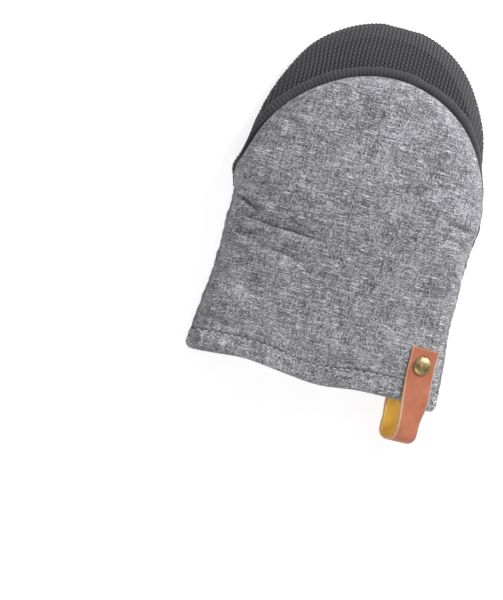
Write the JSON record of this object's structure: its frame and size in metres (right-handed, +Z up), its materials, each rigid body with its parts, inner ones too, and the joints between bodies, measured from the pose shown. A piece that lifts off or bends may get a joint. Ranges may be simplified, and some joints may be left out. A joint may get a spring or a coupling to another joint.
{
  "type": "oven mitt",
  "caption": "Short padded oven mitt with a thumb flap that closes on the finger half like a mouth, dark ribbed grips, a stitched hem and a riveted leather hanging loop.",
  "frame": {"origin": "centre of the box round the mitt and its loop, on the surface that it lies on", "axes": "+X to the right across the palm, +Y from the hem to the fingertip, +Z up out of the palm"},
  "size_m": [0.141, 0.217, 0.0352],
  "materials": {
    "chambray": "grey yarn-dyed chambray cotton, matt",
    "thread": "light grey sewing thread",
    "wadding": "bonded white wadding",
    "lining": "plain light grey cotton",
    "grip": "matt charcoal neoprene with small raised dots",
    "leather": "smooth tan outside, yellow-orange suede inside",
    "brass": "antique brass, polished rim"
  },
  "bodies": {
    "root": {"back_outer_panel": "chambray", "back_wadding": "wadding", "back_lining": "lining", "back_hem": "chambray", "back_hem_stitches": "thread", "finger_grip": "grip", "finger_grip_lining": "lining", "finger_edge": "grip", "palm_outer_panel": "chambray", "palm_wadding": "wadding", "palm_lining": "lining", "palm_hem": "chambray", "palm_hem_stitches": "thread", "fold_outer": "chambray", "fold_wadding": "wadding", "fold_lining": "lining", "side_seam_left": "chambray", "side_seam_right": "chambray", "rivet_cap": "brass", "rivet_post": "brass", "rivet_base": "brass"},
    "thumb_flap": {"thumb_outer_panel": "chambray", "thumb_wadding": "wadding", "thumb_lining": "lining", "thumb_grip": "grip", "thumb_grip_lining": "lining", "thumb_edge_band": "grip"},
    "loop": {"hanging_loop": "leather"}
  },
  "joints": [
    {"name": "mouth_open", "type": "hinge", "parent": "root", "child": "thumb_flap", "pos_m": [0, 0.011, 0.016], "axis": [1, 0, 0], "range_deg": [0, 60], "deforming": ["fold_outer", "fold_wadding", "fold_lining"]},
    {"name": "loop_swing", "type": "hinge", "parent": "root", "child": "loop", "pos_m": [0.0556, -0.066, 0.01454], "axis": [0.225, 0, 0.9744], "range_deg": [-10, 10]}
  ]
}
